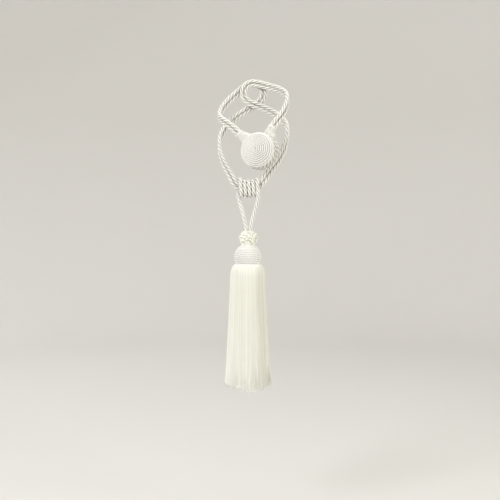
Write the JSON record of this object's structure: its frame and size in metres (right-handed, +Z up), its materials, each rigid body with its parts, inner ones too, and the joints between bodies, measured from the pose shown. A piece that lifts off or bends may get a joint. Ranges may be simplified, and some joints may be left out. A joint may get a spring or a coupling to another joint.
{
  "type": "curtain tieback tassel",
  "caption": "Curtain tieback: a pair of twisted cords with end loops, a wound button, a wrapped knot and a long tassel with a ruff and a cord-wound ball.",
  "frame": {"origin": "the hook's place inside the end loops, at the back of the tie", "axes": "+Z up along the hanging tassel, -Y out of the front where the button and tassel show, +X to the right as seen from the front"},
  "size_m": [0.1213, 0.1332, 0.5178],
  "materials": {
    "tie_cord": "silky three-strand twisted cord",
    "hanger_cord": "silky three-strand twisted cord",
    "gimp": "fine twisted cord wound in rows",
    "neck_yarn": "lengthwise yarn",
    "ruff_yarn": "looped yarn",
    "skirt_yarn": "silky straight yarn"
  },
  "bodies": {
    "root": {"tie_cord_a": "tie_cord", "tie_cord_b": "tie_cord", "hanger_cord": "hanger_cord", "button": "gimp", "button_neck_left": "neck_yarn", "button_neck_right": "neck_yarn", "ruff": "ruff_yarn", "ball_head": "gimp", "skirt": "skirt_yarn"}
  },
  "joints": []
}
